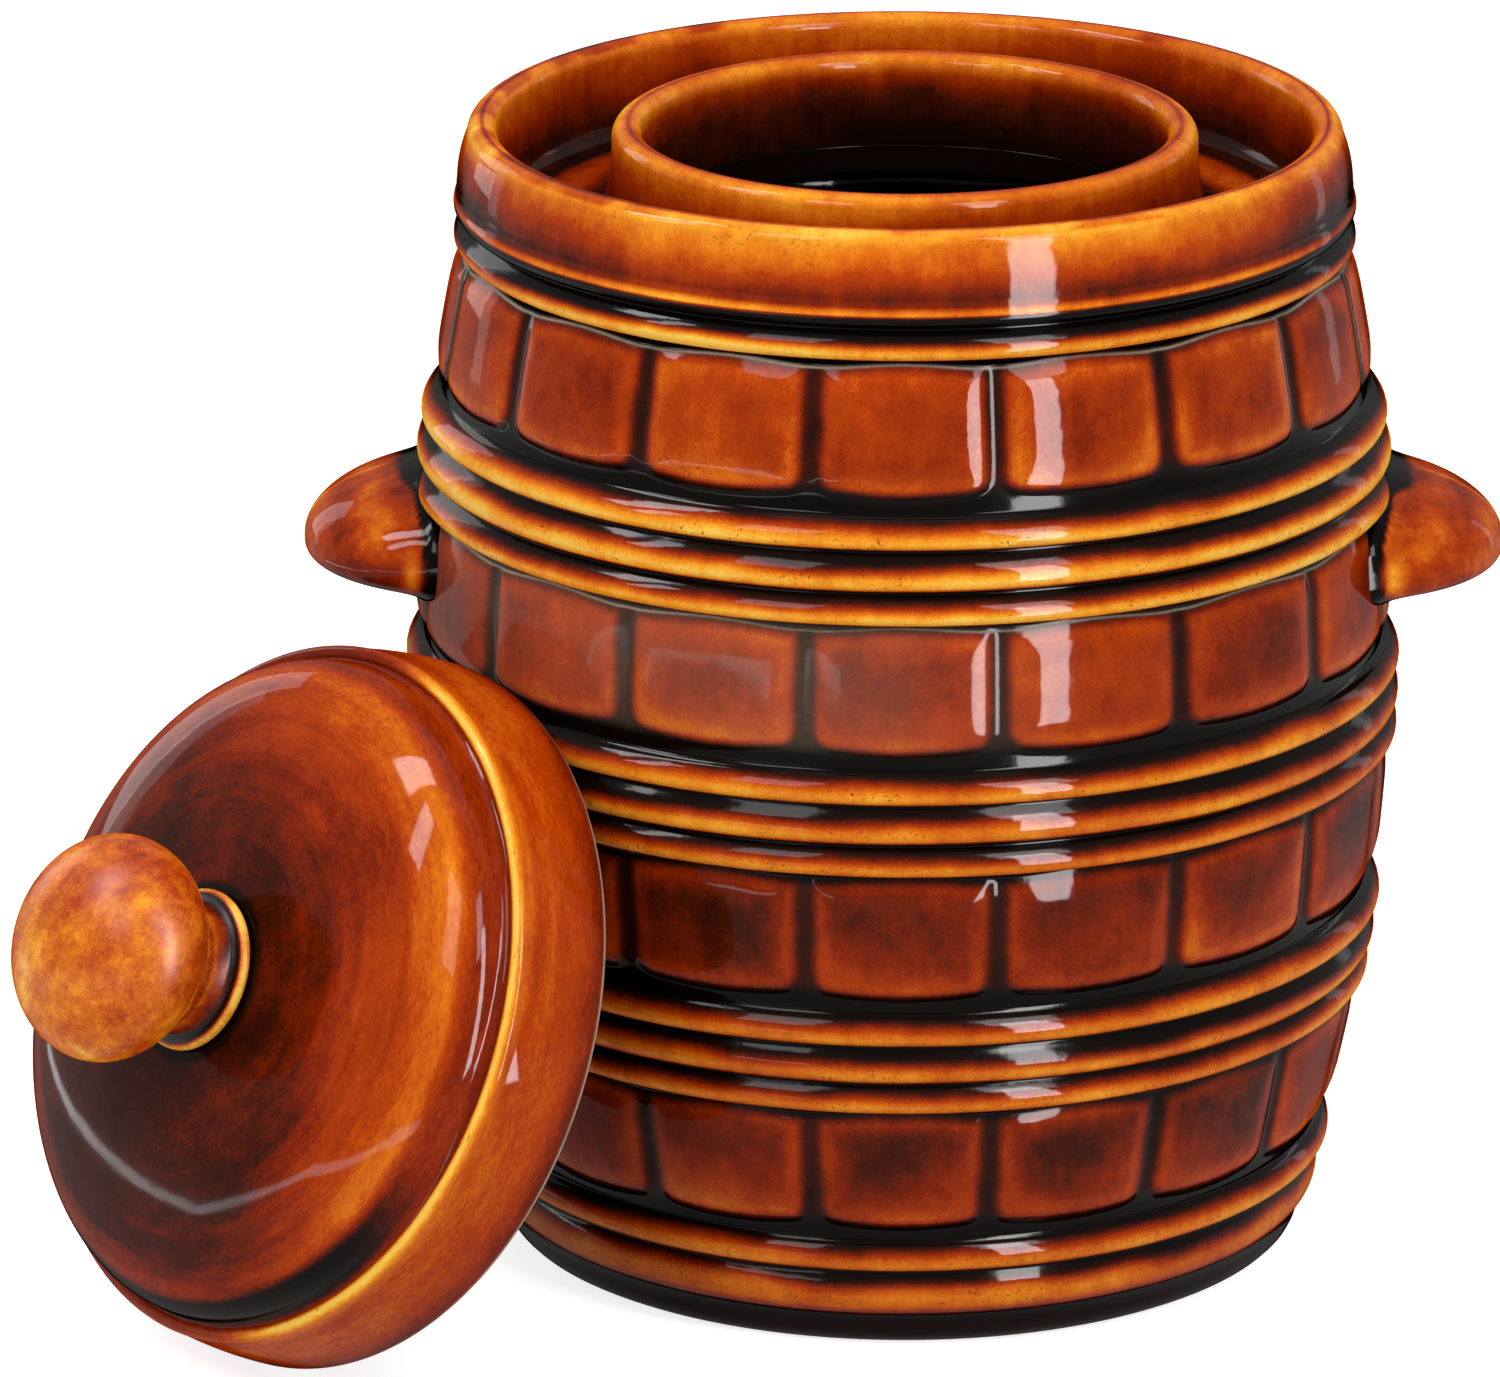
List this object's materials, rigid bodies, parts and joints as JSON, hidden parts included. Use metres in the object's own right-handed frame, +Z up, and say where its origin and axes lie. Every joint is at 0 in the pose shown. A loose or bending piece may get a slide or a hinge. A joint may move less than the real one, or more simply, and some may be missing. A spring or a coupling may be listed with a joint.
{
  "type": "water seal pickle jar",
  "caption": "Glazed stoneware barrel jar with a water gutter round its neck, a knobbed lid leaning on it and half-moon weight stones inside.",
  "frame": {"origin": "middle of the jar's flat foot, on the plane it stands on", "axes": "+Z up along the jar's axis; -Y is the front, towards the viewer; the lugs point along +X and -X"},
  "size_m": [0.3199, 0.2597, 0.2505],
  "materials": {
    "barrel_glaze": "gloss",
    "rim_glaze": "gloss",
    "lug_glaze": "gloss",
    "lid_glaze": "gloss",
    "knob_glaze": "gloss",
    "weight_stone": "satin"
  },
  "bodies": {
    "jar": {"barrel": "barrel_glaze", "gutter_collar": "rim_glaze", "neck_ring": "rim_glaze", "handle_left": "lug_glaze", "handle_right": "lug_glaze"},
    "lid": {"lid_cover": "lid_glaze", "lid_knob": "knob_glaze"},
    "stone_left": {"weight_left": "weight_stone"},
    "stone_right": {"weight_right": "weight_stone"}
  },
  "joints": [
    {"name": "lid_lift", "type": "slide", "parent": "jar", "child": "lid", "axis": [-0.7069, -0.5786, 0.4067], "range_m": [0, 0.28]},
    {"name": "weight_left_lift", "type": "slide", "parent": "jar", "child": "stone_left", "axis": [0, 0, 1], "range_m": [0, 0.27]},
    {"name": "weight_right_lift", "type": "slide", "parent": "jar", "child": "stone_right", "axis": [0, 0, 1], "range_m": [0, 0.27]}
  ]
}
